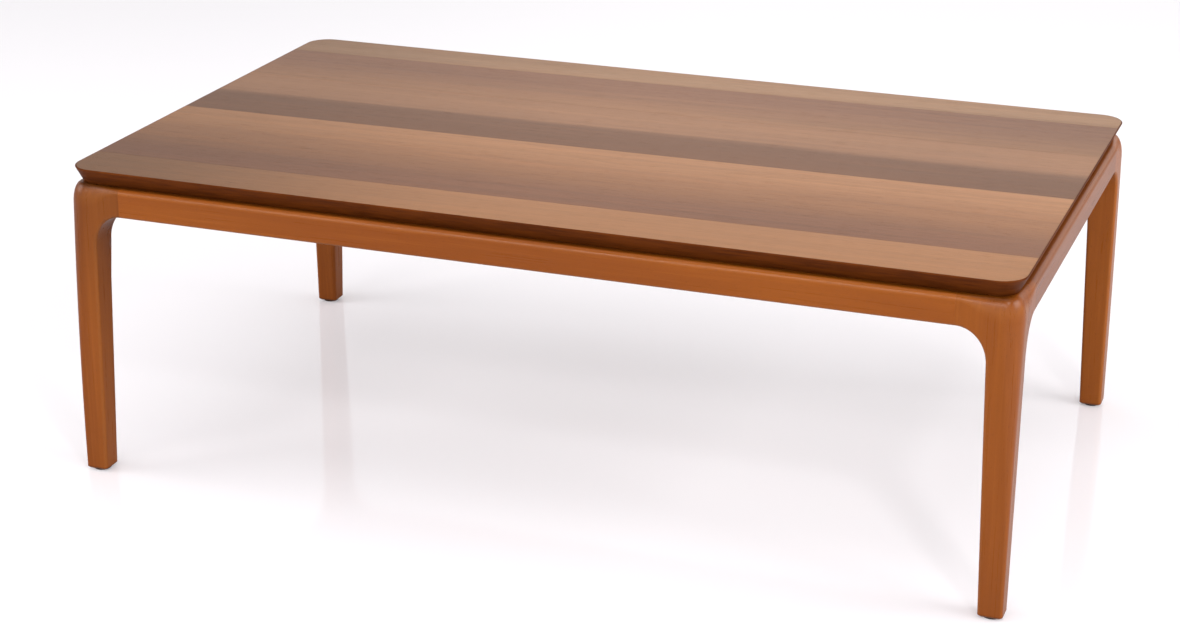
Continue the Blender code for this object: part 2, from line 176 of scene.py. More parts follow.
def makeCamera(look):
    tilt, heading, roll = (math.radians(look[k]) for k in ("downTilt", "heading", "roll"))
    level = math.cos(tilt)
    forward = Vector((math.sin(heading) * level, math.cos(heading) * level, -math.sin(tilt)))
    sideways = forward.cross(Vector((0, 0, 1))).normalized()
    upright = sideways.cross(forward)
    right = sideways * math.cos(roll) + upright * math.sin(roll)
    up = upright * math.cos(roll) - sideways * math.sin(roll)
    data = bpy.data.cameras.new("photoCamera")
    data.sensor_width = look["sensorWidth"]
    data.lens = look["focalPixels"] * look["sensorWidth"] / look["imageWidth"]
    camera = bpy.data.objects.new("photoCamera", data)
    turn = Matrix((right, up, -forward)).transposed().to_4x4()
    camera.matrix_world = Matrix.Translation(look["place"]) @ turn
    bpy.context.scene.collection.objects.link(camera)
    bpy.context.scene.camera = camera


makeCamera(cameraLook)
print("camera set")


def quarterTurn(steps):
    # sine and cosine along a quarter turn, as two arrays
    turn = np.linspace(0, math.pi / 2, steps + 1)
    return np.sin(turn), np.cos(turn)


def fourQuarters(steps):
    # angles of four quarter circles, one after another, and the x and y signs of each one's corner
    quarter = np.linspace(0, math.pi / 2, steps + 1)
    angle = np.concatenate([quarter + k * math.pi / 2 for k in range(4)])
    return angle, np.repeat([1, -1, -1, 1], steps + 1), np.repeat([1, 1, -1, -1], steps + 1)


def ruled(first, second, shares):
    # grid of straight lines between two rows of points: first + share * (second - first)
    shares = np.asarray(shares)[None, :, None]
    return first[:, None] + shares * (second - first)[:, None]


def gridFaces(rows, columns, start):
    # corner numbers of every cell of a rows x columns grid whose points are counted from start
    number = start + np.arange(rows * columns).reshape(rows, columns)
    corners = (number[:-1, :-1], number[:-1, 1:], number[1:, 1:], number[1:, :-1])
    return np.stack([c.ravel() for c in corners], axis=1)


topEdgeLook = {
    "degrees": (0, 24, 48, 70, 90),     # round a top edge, from the outer face up to the groove
    "worn": 0.8,                        # wear and painted highlight at the second of these, where the edge is proudest
}


def roundWear(steps):
    # wear across a rounded edge: none at its two sides, full in the middle
    return np.sin(np.linspace(0, math.pi, steps + 1))


def topEdgeWearAndShade(steps, groove):
    # wear and painted light across a top edge's round: worn and with a painted highlight where it is
    # proudest, and painted shade below nothing towards the groove
    worn = topEdgeLook["worn"]
    levels = (0, worn, 0, -worn * groove, -groove)
    return np.interp(np.linspace(0, 90, steps + 1), topEdgeLook["degrees"], levels)


class Sheets:
    # collects grids of points, with a value of wear and painted light for each point, and sews them into
    # one mesh
    def __init__(self):
        self.points = []
        self.wear = []
        self.faces = []
        self.count = 0

    def grid(self, points, wear=0.0):
        rows, columns = points.shape[:2]
        self.faces.extend(gridFaces(rows, columns, self.count).tolist())
        self.take(points.reshape(-1, 3), np.broadcast_to(wear, (rows, columns)).ravel())

    def cap(self, points, wear=0.0):
        self.faces.append(list(range(self.count, self.count + len(points))))
        self.take(points, np.broadcast_to(wear, len(points)))

    def take(self, points, wear):
        self.points.append(points)
        self.wear.append(wear)
        self.count += len(points)

    def mesh(self, name, closeness=2e-6, sharpAngle=38):
        made = bpy.data.meshes.new(name)
        made.from_pydata(np.concatenate(self.points).tolist(), [], self.faces)
        # wear lightens the wood, a painted highlight lightens the top rounds, and painted shade darkens
        # below nought
        wear = made.attributes.new("wear", "FLOAT", "POINT")
        wear.data.foreach_set("value", np.concatenate(self.wear))
        sewn = bmesh.new()
        sewn.from_mesh(made)
        bmesh.ops.remove_doubles(sewn, verts=sewn.verts, dist=closeness)
        bmesh.ops.dissolve_degenerate(sewn, edges=sewn.edges, dist=closeness)
        bmesh.ops.recalc_face_normals(sewn, faces=sewn.faces)
        sewn.to_mesh(made)
        sewn.free()
        made.shade_smooth()
        made.set_sharp_from_angle(angle=math.radians(sharpAngle))
        return made


def addPiece(name, sheets, node, finish):
    mesh = sheets.mesh(name)
    piece = bpy.data.objects.new(name, mesh)
    bpy.context.scene.collection.objects.link(piece)
    mesh.materials.append(finish)
    even = piece.modifiers.new("evenShade", "WEIGHTED_NORMAL")
    even.keep_sharp = True
    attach(piece, "root")
    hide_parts(node)


def dress(node, finish):
    # a CAD node keeps its shape and takes a finish
    data = nodes[node].data
    data.materials.clear()
    data.materials.append(finish)


veneerLook = {
    "skew": 0.016,               # the joints run this far off square over the length
    # noise patterns: lumps in a metre along, across and through the leaf, detail, roughness
    "stray": ((1.6, 26, 1), 3.0),
    "streak": ((2.2, 110, 1), 4.0, 0.6),
    "line": ((3.5, 620, 1), 3.0, 0.65),
    "pore": ((38, 1700, 1), 1.0),
    "cloud": ((3.0, 7.0, 1), 2.0),
    "leafShift": 0.37,           # each leaf takes its patterns from this much further on
    "poreLimits": (0.61, 0.73),
    "wander": 0.020,             # how far the colour lines stray across the grain, metres
    "streakContrast": 0.42,
    "lineContrast": 0.55,
    "poreContrast": 0.28,
    "cloudContrast": 0.12,
    "lacquerTint": (0.985, 0.955, 0.875),
    "roughness": 0.36,
    "lineGloss": 0.10,
    "poreGloss": 0.10,
    "lineRelief": 0.3,
    "reliefDepth": 0.00010,
    "specular": 0.20,
    "figure": (0.045, -0.092),   # a small swirl in the fourth leaf
    "figureReach": (0.050, 0.014),
    "figureBend": 0.010,
}
# tones across each leaf, from its back edge to its front edge
leafTones = {
    1: ((0.0, (159, 120, 91)), (0.7, (167, 129, 101)), (1.0, (157, 118, 90))),
    2: ((0.0, (139, 98, 76)), (0.35, (140, 99, 77)), (1.0, (156, 113, 84))),
    3: ((0.0, (159, 115, 86)), (0.2, (163, 119, 90)), (0.44, (157, 114, 87)), (0.495, (138, 99, 75)),
        (0.55, (123, 86, 64)), (0.9, (121, 83, 60)), (1.0, (123, 85, 62))),
    4: ((0.0, (175, 126, 91)), (0.22, (171, 122, 87)), (0.38, (159, 111, 78)), (0.57, (148, 102, 71)),
        (0.82, (129, 87, 64)), (1.0, (127, 85, 62))),
    5: ((0.0, (161, 113, 77)), (1.0, (159, 110, 73))),
}
# painted light: how light each leaf is drawn at its left end, middle and right end, darker to the left
# where the light falls off
paintedLeafFalloff = {
    1: (0.76, 1.08, 1.02),
    2: (0.90, 1.08, 0.945),
    3: (0.83, 1.05, 1.02),
    4: (0.75, 1.03, 1.07),
    5: (0.50, 1.07, 1.11),
}


def veneerFinish(number, look):
    material, desk = newFinish(f"walnutVeneerLeaf{number}")
    low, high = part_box(f"top_veneer_leaf_{number}")
    length = high.x - low.x
    angle = math.atan2(look["skew"], length)
    # distances of this leaf's two edges from the middle line, measured square to the joints
    lean = look["skew"] / 2 * math.cos(angle)
    back = high.y - (lean if number > 1 else 0)
    front = low.y + (lean if number < len(leafTones) else 0)
    spot = desk.node("TexCoord", output="Object")
    turned = {"Vector": spot, "Rotation": (0, 0, -angle)}
    along = desk.node("Mapping", {"vector_type": "POINT"}, turned)
    # the figure bends the grain round a point
    centre, reach = look["figure"], look["figureReach"]
    x = desk.axis(along, "X")
    y = desk.axis(along, "Y")
    dx = (x - centre[0]) / reach[0]
    dy = (y - centre[1]) / reach[1]
    swell = desk.node("Math", {"operation": "EXPONENT"}, {0: (dx * dx + dy * dy) * -1.0})
    bent = y + swell * look["figureBend"]
    grain = desk.node("CombineXYZ", None, {"X": x, "Y": bent, "Z": number * look["leafShift"]})
    # where across the leaf this point lies, with the colour lines wandering a little
    stray = desk.noise(grain, *look["stray"]) - 0.5
    wandering = {"Value": bent + stray * look["wander"], "From Min": back, "From Max": front}
    share = desk.node("MapRange", None, wandering)
    stops = [(place, screen(*tone)) for place, tone in leafTones[number]]
    tone = desk.node("ValToRGB", {"stops": stops}, {"Fac": share})
    # broad streaks, fine growth lines and pores, all drawn out along the length
    streak = desk.noise(grain, *look["streak"])
    line = desk.noise(grain, *look["line"])
    pore = desk.between(desk.noise(grain, *look["pore"]), *look["poreLimits"])
    cloud = desk.noise(grain, *look["cloud"])
    # painted light: each leaf is drawn darker towards its left end and lighter towards its right
    left, middle, right = paintedLeafFalloff[number]
    paintedFalloff = desk.between(x, low.x, 0.0, left, middle) * desk.between(x, 0.0, high.x, 1.0, right / middle)
    shade = paintedFalloff * (1.0 + (streak - 0.5) * look["streakContrast"] + (line - 0.5) * look["lineContrast"])
    shade = shade * (1.0 + (cloud - 0.5) * look["cloudContrast"]) * (1.0 - pore * look["poreContrast"])
    tint = desk.colour(*(shade * part for part in look["lacquerTint"]))
    colour = desk.mix(1.0, tone, tint, "MULTIPLY")
    gloss = look["roughness"] + (line - 0.5) * look["lineGloss"] + pore * look["poreGloss"]
    relief = bump(desk, line * look["lineRelief"] - pore, look["reliefDepth"])
    closeFinish(desk, {"Specular IOR Level": look["specular"]}, colour, gloss, relief)
    return material


for number in leafTones:
    dress(f"top_veneer_leaf_{number}", veneerFinish(number, veneerLook))
print("veneer laid")


beechLook = {
    "dark": (143, 72, 14),
    "mid": (159, 84, 18),
    "pale": (173, 98, 31),
    # noise patterns: lumps in a metre along and across the grain, detail, roughness
    "broad": (1.6, 16, 3.0, 0.55),
    "streak": (5, 260, 4.0, 0.6),
    "fleck": (170, 1100, 1.0, 0.5),
    "broadLimits": (0.32, 0.66),
    "streakLimits": (0.50, 0.85),
    "fleckLimits": (0.62, 0.74),
    "seedWays": (1.0, 1.7, 2.3),     # each piece is cut from another place in the wood
    "legSeed": 1.3,
    "railSeed": 7.1,
    "streakPale": 0.55,
    "streakContrast": 0.20,
    "fleckContrast": 0.22,
    "roughness": 0.29,
    "streakGloss": 0.12,
    "fleckGloss": 0.08,
    "streakRelief": 0.35,
    "reliefDepth": 0.00004,
    "specular": 0.30,
    # colour of the rounds, for thinner stain and a painted highlight
    "edge": (186, 120, 66),
    "edgeWearAndHighlight": 0.22,         # stain is thinner on the rounded edges, and a painted highlight lightens the top rounds
    "grooveShade": 0.34,      # painted shade in the groove under the top
    "groove": (1.0, 0.1),     # how much of that painted shade the long and the short sides show
    # painted shade: how light some pieces are drawn low down and at the frame, darker where less light
    # falls on them
    "paintedPieceShade": {
        "leg_front_left": (0.93, 0.68),
        "leg_front_right": (0.90, 0.90),
        "rail_right": (0.80, 0.80),
    },
    "toneRise": (0.15, 0.40),        # heights between which the painted shade low down turns into that at the frame
}


def beechFinish(node, axis, look, seed):
    # axis is the direction of the grain: 0, 1 or 2
    material, desk = newFinish(f"stainedBeech_{node}")
    spot = desk.node("TexCoord", output="Object")
    shift = [seed * way for way in look["seedWays"]]
    place = desk.node("VectorMath", {"operation": "ADD"}, {0: spot, 1: shift})

    def drawn(along, across, detail, roughness):
        scales = [across] * 3
        scales[axis] = along
        return desk.noise(place, scales, detail, roughness)

    broad = drawn(*look["broad"])
    streak = drawn(*look["streak"])
    fleck = desk.between(drawn(*look["fleck"]), *look["fleckLimits"])
    dark, mid, pale, edge = (screen(*look[name]) for name in ("dark", "mid", "pale", "edge"))
    tone = desk.mix(desk.between(broad, *look["broadLimits"]), dark, mid)
    tone = desk.mix(desk.between(streak, *look["streakLimits"]) * look["streakPale"], tone, pale)
    wear = desk.node("Attribute", {"attribute_name": "wear"}, None, "Fac")
    # the rounds lighten: thinner stain, and a painted highlight on the top rounds
    tone = desk.mix(wear * look["edgeWearAndHighlight"], tone, edge)
    shade = (1.0 + (streak - 0.5) * look["streakContrast"]) * (1.0 - fleck * look["fleckContrast"])
    # painted shade by height for the pieces listed
    paintedPieceShade = look["paintedPieceShade"].get(node, (1.0, 1.0))
    shade = shade * desk.between(desk.axis(spot, "Z"), *look["toneRise"], *paintedPieceShade)
    # painted shade in the groove under the top
    shade = shade * desk.between(wear, -1.0, 0.0, look["grooveShade"], 1.0)
    colour = desk.mix(1.0, tone, desk.colour(shade, shade, shade), "MULTIPLY")
    gloss = look["roughness"] + (streak - 0.5) * look["streakGloss"] + fleck * look["fleckGloss"]
    relief = bump(desk, streak * look["streakRelief"] - fleck, look["reliefDepth"])
    closeFinish(desk, {"Specular IOR Level": look["specular"]}, colour, gloss, relief)
    return material


legLook = {
    "topWidth": 0.038,
    "footWidth": 0.0295,
    "edgeRound": 0.0045,        # along the post, at the foot
    "railEdgeRound": 0.004,     # the same edge under the ears
    "innerRound": 0.004,        # where the post's two inner faces meet ...
    "innerFade": 0.050,         # ... running out over this height under the fillet
    "footCorner": 0.004,        # outer corner in plan, at the floor and at the frame's top
    "frameCorner": 0.024,
    "cornerGrowth": 2.0,
    "shoulderRound": 0.012,     # the top edge at the outer corner curves in by this much
    "shoulderDrop": 0.028,      # and down by this much
    "railTopRound": 0.008,
    "filletLength": 0.036,
    "filletHeight": 0.042,
    "footChamfer": 0.002,
    "cornerWear": 0.25,
    "soleShade": -0.55,          # painted shade darkens the sole ...
    "soleBand": 0.003,          # ... and up to this far above it
    "postSteps": 14,
    "fadeSteps": 4,
    "filletSteps": 22,
    "edgeSteps": 7,
    "innerSteps": 4,
    "cornerSteps": 14,
    # where the flat faces are divided, as shares of their width
    "innerShares": (0, 0.15, 0.5, 0.85, 1),
    "outerShares": (0, 0.08, 0.5, 0.92, 1),
    "backShares": (0, 0.5, 1),
}


def legSheets(look, grooves, foot, top, reach, railBottom):
    # In the leg's own plan, u runs in along one rail and v along the other, from the outer corner.
    # Everything is drawn for the u side, and swapping u and v gives the v side. grooves holds the
    # two sides' shares of painted groove shade.
    sheets = Sheets()
    width = look["topWidth"]
    filletFoot = railBottom - look["filletHeight"]
    shoulderFoot = top - look["shoulderDrop"]
    postFoot = foot + look["footChamfer"]

    def swap(points):
        return points[..., [1, 0, 2]]

    def both(points, wear=0.0):
        sheets.grid(points, wear)
        sheets.grid(swap(points), wear)

    def cornerRadius(z):
        share = (z - foot) / (shoulderFoot - foot)
        growth = look["frameCorner"] - look["footCorner"]
        return look["footCorner"] + growth * share ** look["cornerGrowth"]

    # inner line of the leg: straight up the tapered post, a quarter ellipse, then out along the ear
    fade = filletFoot - look["innerFade"]
    zPost = np.concatenate([
        [postFoot], np.linspace(postFoot + look["soleBand"], fade, look["postSteps"]),
        np.linspace(fade, filletFoot, look["fadeSteps"] + 1)[1:]])
    rise = (zPost - foot) / (filletFoot - foot)
    uPost = look["footWidth"] + (width - look["footWidth"]) * rise
    sine, cosine = quarterTurn(look["filletSteps"])
    uLine = np.concatenate([uPost, width + look["filletLength"] * (1 - cosine[1:]), [reach]])
    zLine = np.concatenate([zPost, filletFoot + look["filletHeight"] * sine[1:], [railBottom]])
    normalU = np.concatenate([np.ones_like(zPost), look["filletHeight"] * cosine[1:], [0]])
    normalZ = np.concatenate([np.zeros_like(zPost), -look["filletLength"] * sine[1:], [-1]])
    size = np.hypot(normalU, normalZ)
    normalU, normalZ = normalU / size, normalZ / size
    lineCount, postCount = len(uLine), len(zPost)
    edge = np.full(lineCount, look["railEdgeRound"])
    edge[:postCount] = look["edgeRound"] + (look["railEdgeRound"] - look["edgeRound"]) * rise
    inner = look["innerRound"] * np.clip((filletFoot - zPost) / look["innerFade"], 0, 1)
    far = np.full(lineCount, width)
    far[:postCount] = uPost - inner

    # rounded front edge: sunk by edge * (1 - sine) along the normal, in by edge * (1 - cosine)
    edgeSine, edgeCosine = quarterTurn(look["edgeSteps"])
    sunk = edge[:, None] * (1 - edgeSine)
    rounded = np.stack([
        uLine[:, None] - normalU[:, None] * sunk,
        edge[:, None] * (1 - edgeCosine),
        zLine[:, None] - normalZ[:, None] * sunk], axis=2)
    lift = roundWear(look["edgeSteps"])
    both(rounded, lift)
    back = np.stack([uLine, far, zLine], axis=1)
    innerFace = ruled(rounded[:, -1], back, look["innerShares"])
    both(innerFace)

    # hidden edge between the post's two inner faces: a quarter circle in plan
    innerSine, innerCosine = quarterTurn(look["innerSteps"])
    middle = (uPost - inner)[:, None]
    hidden = np.stack([
        middle + inner[:, None] * innerCosine,
        middle + inner[:, None] * innerSine,
        np.repeat(zPost[:, None], len(innerSine), axis=1)], axis=2)
    sheets.grid(hidden)

    # outer corner: a quarter circle in plan whose radius grows towards the shoulder
    climb = look["filletSteps"] // 2
    zCorner = np.concatenate([zPost, np.linspace(filletFoot, shoulderFoot, climb + 1)[1:]])
    radius = cornerRadius(zCorner)[:, None]
    cornerSine, cornerCosine = quarterTurn(look["cornerSteps"])
    corner = np.stack([
        radius - radius * cornerSine,
        radius - radius * cornerCosine,
        np.repeat(zCorner[:, None], len(cornerSine), axis=1)], axis=2)
    sheets.grid(corner, look["cornerWear"] * roundWear(look["cornerSteps"]))

    # shoulder: a quarter ellipse round the corner, easing along the ears into the rail's quarter circle
    run = lineCount - len(zCorner)
    earShare = np.linspace(1, 0, run + 1)[:-1][:, None]
    eased = earShare * earShare * (3 - 2 * earShare)
    frameCorner = look["frameCorner"]
    insetCorner = look["shoulderRound"] * (1 - edgeCosine)
    zBig = top - look["shoulderDrop"] * (1 - edgeSine)
    insetEar = look["railTopRound"] * (1 - edgeCosine)
    zEar = top - look["railTopRound"] * (1 - edgeSine)
    ear = np.stack([
        np.broadcast_to(frameCorner + (reach - frameCorner) * earShare, (run, len(zEar))),
        insetCorner + (insetEar - insetCorner) * eased,
        zBig + (zEar - zBig) * eased], axis=2)
    bend = (frameCorner - insetCorner)[None, :]
    arc = np.stack([
        frameCorner - bend * cornerSine[:, None],
        frameCorner - bend * cornerCosine[:, None],
        np.broadcast_to(zBig, (len(cornerSine), len(zBig)))], axis=2)
    shoulder = np.concatenate([ear, arc, swap(ear[::-1])])
    turned = np.concatenate([np.zeros(run), np.linspace(0, 1, len(arc)), np.ones(run)])[:, None]
    # painted groove shade and painted highlight on the shoulder's top edge, each side with its own share
    first, second = (topEdgeWearAndShade(look["edgeSteps"], groove) for groove in grooves)
    wear = first + turned * (second - first)
    sheets.grid(shoulder, wear)

    # flat outer face, ruled from the inner line to the corner and the shoulder
    outer = np.concatenate([corner[:, 0], ear[::-1, 0]])
    outerFace = ruled(rounded[:, 0], outer, look["outerShares"])
    both(outerFace)

    # back of the ear, and the top face out to the shoulder
    low = back[postCount - 1:]
    high = np.stack([low[:, 0], low[:, 1], np.full(len(low), top)], axis=1)
    earBack = ruled(low, high, look["backShares"])
    both(earBack)
    rim = np.concatenate([swap(high[::-1]), high[1:]])
    sheets.cap(np.concatenate([shoulder[:, -1], rim]), np.concatenate([wear[:, -1], np.zeros(len(rim))]))

    # end of each ear, once round its outline, with wear and painted light on its two rounds only
    endInner = np.concatenate([innerFace[-1, 1:], earBack[-1, 1:]])
    endOuter = outerFace[-1, -2:0:-1]
    end = np.concatenate([rounded[-1], endInner, ear[0, ::-1], endOuter])
    for points, topEdge in ((end, first), (swap(end), second)):
        sheets.cap(points, np.concatenate([
            lift, np.zeros(len(endInner)), topEdge[::-1], np.zeros(len(endOuter))]))

    # chamfered sole: the post's lowest outline, drawn in towards the middle of the foot
    ring = np.concatenate([
        rounded[0], innerFace[0, 1:], hidden[0, 1:-1], swap(innerFace[0, ::-1]), swap(rounded[0, -2::-1]),
        swap(outerFace[0, 1:]), corner[0, -2::-1], outerFace[0, -2:0:-1]])
    footMiddle = np.array([look["footWidth"] / 2, look["footWidth"] / 2, 0])
    share = 1 - 2 * look["footChamfer"] / look["footWidth"]
    sole = footMiddle + (ring - footMiddle) * share
    sole[:, 2] = foot
    closed = np.concatenate([ring, ring[:1]])
    sheets.grid(ruled(closed, np.concatenate([sole, sole[:1]]), (0, 1)))
    sheets.cap(sole)
    hair = 1e-5     # metres, so that rounding leaves out no point of the post's lowest outline
    # painted shade round the sole and the band above it
    atSole = [points[:, 2] < postFoot + hair for points in sheets.points]
    sheets.wear = [np.where(low, look["soleShade"], wear) for low, wear in zip(atSole, sheets.wear)]
    return sheets


def quarterSpin(turn):
    # turns a row of points by this many quarter turns about z
    cosine = round(math.cos(turn * math.pi / 2))
    sine = round(math.sin(turn * math.pi / 2))
    return np.array([[cosine, sine, 0], [-sine, cosine, 0], [0, 0, 1]])


def placeSheets(sheets, start, turn):
    # from a piece's own plan to the table: quarter turns about its start, which is then moved into place
    sheets.points = [points @ quarterSpin(turn) + np.array([*start, 0]) for points in sheets.points]


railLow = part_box("rail_front")[0]
for turn, corner in enumerate(("front_left", "front_right", "back_right", "back_left")):
    low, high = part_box(f"leg_{corner}")
    outerX = low.x if low.x + high.x < 0 else high.x
    outerY = low.y if low.y + high.y < 0 else high.y
    grooves = beechLook["groove"] if turn % 2 == 0 else beechLook["groove"][::-1]
    sheets = legSheets(legLook, grooves, low.z, high.z, high.x - low.x, railLow.z)
    placeSheets(sheets, (outerX, outerY), turn)
    finish = beechFinish(f"leg_{corner}", 2, beechLook, beechLook["legSeed"] + turn)
    addPiece(f"shapedLeg_{corner}", sheets, f"leg_{corner}", finish)
print("legs shaped")


railLook = {
    "topRound": 0.008,
    "edgeRound": 0.004,
    "backChamfer": 0.001,
    "faceMargin": 0.003,      # the outer face is divided this far from its two rounds
    "boreRadius": 0.0043,     # for a screw head, from below
    "boreRoof": 0.021,        # wood left above it
    "boreSteps": 6,
    "edgeSteps": 8,
    "closeUp": 0.00025,       # each end runs on by this much, so that only a hairline seam shows
}


def railSheets(look, groove, length, thickness, bottom, top, screws):
    # One section, carried straight along from end to end, but for its flat underside. That has a
    # square cell at each screw, ruled from the bore's circle out to the cell's corners, and plain runs
    # between the cells.
    sheets = Sheets()
    sine, cosine = quarterTurn(look["edgeSteps"])
    edge, topRound = look["edgeRound"], look["topRound"]
    under = np.stack([edge * (1 - cosine), bottom + edge * (1 - sine)], axis=1)
    over = np.stack([topRound * (1 - cosine), top - topRound * (1 - sine)], axis=1)[::-1]
    chamfer = look["backChamfer"]
    rear = np.array([[thickness - chamfer, bottom], [thickness, bottom + chamfer], [thickness, top]])
    face = np.array([[0, top - topRound - look["faceMargin"]], [0, bottom + edge + look["faceMargin"]]])
    section = np.concatenate([under, rear, over, face, under[:1]])
    # wear and painted light over the section: painted shade in the groove at the rear top and over the
    # top round
    wear = np.concatenate([
        roundWear(look["edgeSteps"]), [0, 0, -groove],
        topEdgeWearAndShade(look["edgeSteps"], groove)[::-1], np.zeros(len(face) + 1)])
    cell = (thickness - chamfer - edge) / 2
    cellEnds = [screws[:, 0] - cell, screws[:, 0] + cell]
    stations = np.sort(np.concatenate([[-length / 2, length / 2], *cellEnds]))
    points = np.empty((len(stations), len(section), 3))
    points[..., 0] = stations[:, None]
    points[..., 1:] = section
    split = len(under)
    sheets.grid(points[:, :split], wear[:split])
    sheets.grid(points[:, split:], wear[split:])
    for start in range(0, len(stations), 2):
        sheets.grid(points[start:start + 2, split - 1:split + 1])
    angle, sideX, sideY = (np.append(row, row[0]) for row in fourQuarters(look["boreSteps"]))
    across, inwards = look["boreRadius"] * np.cos(angle), look["boreRadius"] * np.sin(angle)
    level = np.full_like(angle, bottom)
    roof = np.array([0, 0, top - look["boreRoof"] - bottom])
    for x, y in screws:
        circle = np.stack([x + across, y + inwards, level], axis=1)
        corners = np.stack([x + cell * sideX, edge + cell * (1 + sideY), level], axis=1)
        middle = np.broadcast_to([x, y, bottom], circle.shape)
        sheets.grid(ruled(circle, corners, (0, 1)))
        sheets.grid(ruled(circle, circle + roof, (0, 1)))
        sheets.grid(ruled(circle + roof, middle + roof, (0, 1)))
    sheets.cap(points[0, :-1], wear[:-1])
    sheets.cap(points[-1, :-1], wear[:-1])
    return sheets


for turn, side in enumerate(("front", "right", "back", "left")):
    low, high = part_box(f"rail_{side}")
    size = high - low
    length, thickness = (size.x, size.y) if turn % 2 == 0 else (size.y, size.x)
    middle = (low + high) / 2
    outer = ((middle.x, low.y), (high.x, middle.y), (middle.x, high.y), (low.x, middle.y))[turn]
    groove = beechLook["groove"][turn % 2]
    screwBoxes = np.array([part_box(node) for node in nodes if node.startswith(f"top_screw_{side}")])
    screws = (screwBoxes.mean(axis=1) - np.array([*outer, 0])) @ quarterSpin(turn).T
    closedLength = length + 2 * railLook["closeUp"]
    sheets = railSheets(railLook, groove, closedLength, thickness, low.z, high.z, screws[:, :2])
    placeSheets(sheets, outer, turn)
    finish = beechFinish(f"rail_{side}", turn % 2, beechLook, beechLook["railSeed"] + turn)
    addPiece(f"roundedRail_{side}", sheets, f"rail_{side}", finish)
print("rails shaped")


lippingLook = {
    "width": 0.015,
    "undercut": 0.0095,        # the edge slopes in by this much on its way down to the frame
    "arris": 0.0012,
    "cornerRadius": 0.032,
    "cornerSteps": 20,
    "roundSteps": 9,
    "slopeShares": (0.06, 0.5, 0.94),
    # painted shade down the slope, lighter at its top and darker near the groove
    "slopeShade": (0.9, 0, -0.9),
    "dark": (80, 36, 9),
    "mid": (102, 49, 12),
    # noise patterns: lumps in a metre along each axis, detail, roughness
    "streak": ((30, 30, 420), 4.0, 0.6),
    "broad": ((9, 9, 60), 2.0),
    "streakShare": 0.6,        # the rest of the pattern is broad
    "toneLimits": (0.35, 0.65),
    "arrisHighlight": 1.12,         # painted light: the wood is drawn lighter at the arris and darker at the foot of the slope
    "footShade": 0.84,
    "roughness": 0.42,
    "streakGloss": 0.1,
    "wearGloss": 0.05,
    "reliefDepth": 0.00006,
    "specular": 0.06,
}


def lippingSheets(look):
    # one section carried round the top's rounded outline: a small round arris, which turns on into a
    # straight slope down and in to the frame
    low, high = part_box("top_edge_lipping")
    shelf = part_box("top_core_board")[1].z
    arris = look["arris"]
    ledge = np.array([[look["width"], shelf], [arris, shelf]])
    base = np.array([[look["undercut"], low.z], [look["width"], low.z]])
    lean = math.atan2(look["undercut"], high.z - arris - low.z)
    turn = np.linspace(0, math.pi / 2 + lean, look["roundSteps"] + 1)
    upper = np.stack([arris * (1 - np.sin(turn)), high.z - arris * (1 - np.cos(turn))], axis=1)
    slope = upper[-1] + np.array(look["slopeShares"])[:, None] * (base[:1] - upper[-1])
    section = np.concatenate([ledge, upper, slope, base, ledge[:1]])
    inset, level = section[:, 0], section[:, 1]
    # painted light across the section: lighter at the arris, darker down the slope and at its foot
    wear = np.concatenate([[0, 0], np.ones(len(upper)), look["slopeShade"], [-1, -1, 0]])
    # outline: four quarter circles, drawn in by the inset, joined by straight runs
    angle, signX, signY = fourQuarters(look["cornerSteps"])
    radius = look["cornerRadius"] - inset[:, None]
    x = signX * (high.x - look["cornerRadius"]) + radius * np.cos(angle)
    y = signY * (high.y - look["cornerRadius"]) + radius * np.sin(angle)
    points = np.stack([x, y, np.repeat(level[:, None], len(angle), axis=1)], axis=2)
    sheets = Sheets()
    sheets.grid(np.concatenate([points, points[:, :1]], axis=1), wear[:, None])
    return sheets


def lippingFinish(look):
    material, desk = newFinish("darkStainedLipping")
    spot = desk.node("TexCoord", output="Object")
    streak = desk.noise(spot, *look["streak"])
    broad = desk.noise(spot, *look["broad"])
    wear = desk.node("Attribute", {"attribute_name": "wear"}, None, "Fac")
    pattern = streak * look["streakShare"] + broad * (1 - look["streakShare"])
    tones = screen(*look["dark"]), screen(*look["mid"])
    tone = desk.mix(desk.between(pattern, *look["toneLimits"]), *tones)
    # painted shade: the lipping is drawn lighter at the arris and darker towards the foot of the slope
    shade = desk.between(wear, -1.0, 1.0, look["footShade"], look["arrisHighlight"])
    colour = desk.mix(1.0, tone, desk.colour(shade, shade, shade), "MULTIPLY")
    gloss = look["roughness"] + (streak - 0.5) * look["streakGloss"] - wear * look["wearGloss"]
    relief = bump(desk, streak, look["reliefDepth"])
    closeFinish(desk, {"Specular IOR Level": look["specular"]}, colour, gloss, relief)
    return material


sheets, finish = lippingSheets(lippingLook), lippingFinish(lippingLook)
addPiece("edgeLipping", sheets, "top_edge_lipping", finish)
print("lipping fitted")


plainWoodLook = {
    "streak": ((4, 180, 180), 4.0, 0.6),
    "streakLimits": (0.35, 0.7),
    "streakGloss": 0.1,
    "reliefDepth": 0.00005,
    # pale tone, dark tone and roughness of each wood
    "coreBoard": ((196, 164, 120), (168, 134, 92), 0.8),
    "backingVeneer": ((132, 94, 62), (110, 74, 46), 0.6),
    "plainBeechDowel": ((208, 174, 128), (188, 152, 106), 0.7),
}


def plainWoodFinish(name, look):
    material, desk = newFinish(name)
    pale, dark, roughness = look[name]
    spot = desk.node("TexCoord", output="Object")
    streak = desk.noise(spot, *look["streak"])
    tone = desk.mix(desk.between(streak, *look["streakLimits"]), screen(*dark), screen(*pale))
    gloss = roughness + (streak - 0.5) * look["streakGloss"]
    closeFinish(desk, {}, tone, gloss, bump(desk, streak, look["reliefDepth"]))
    return material


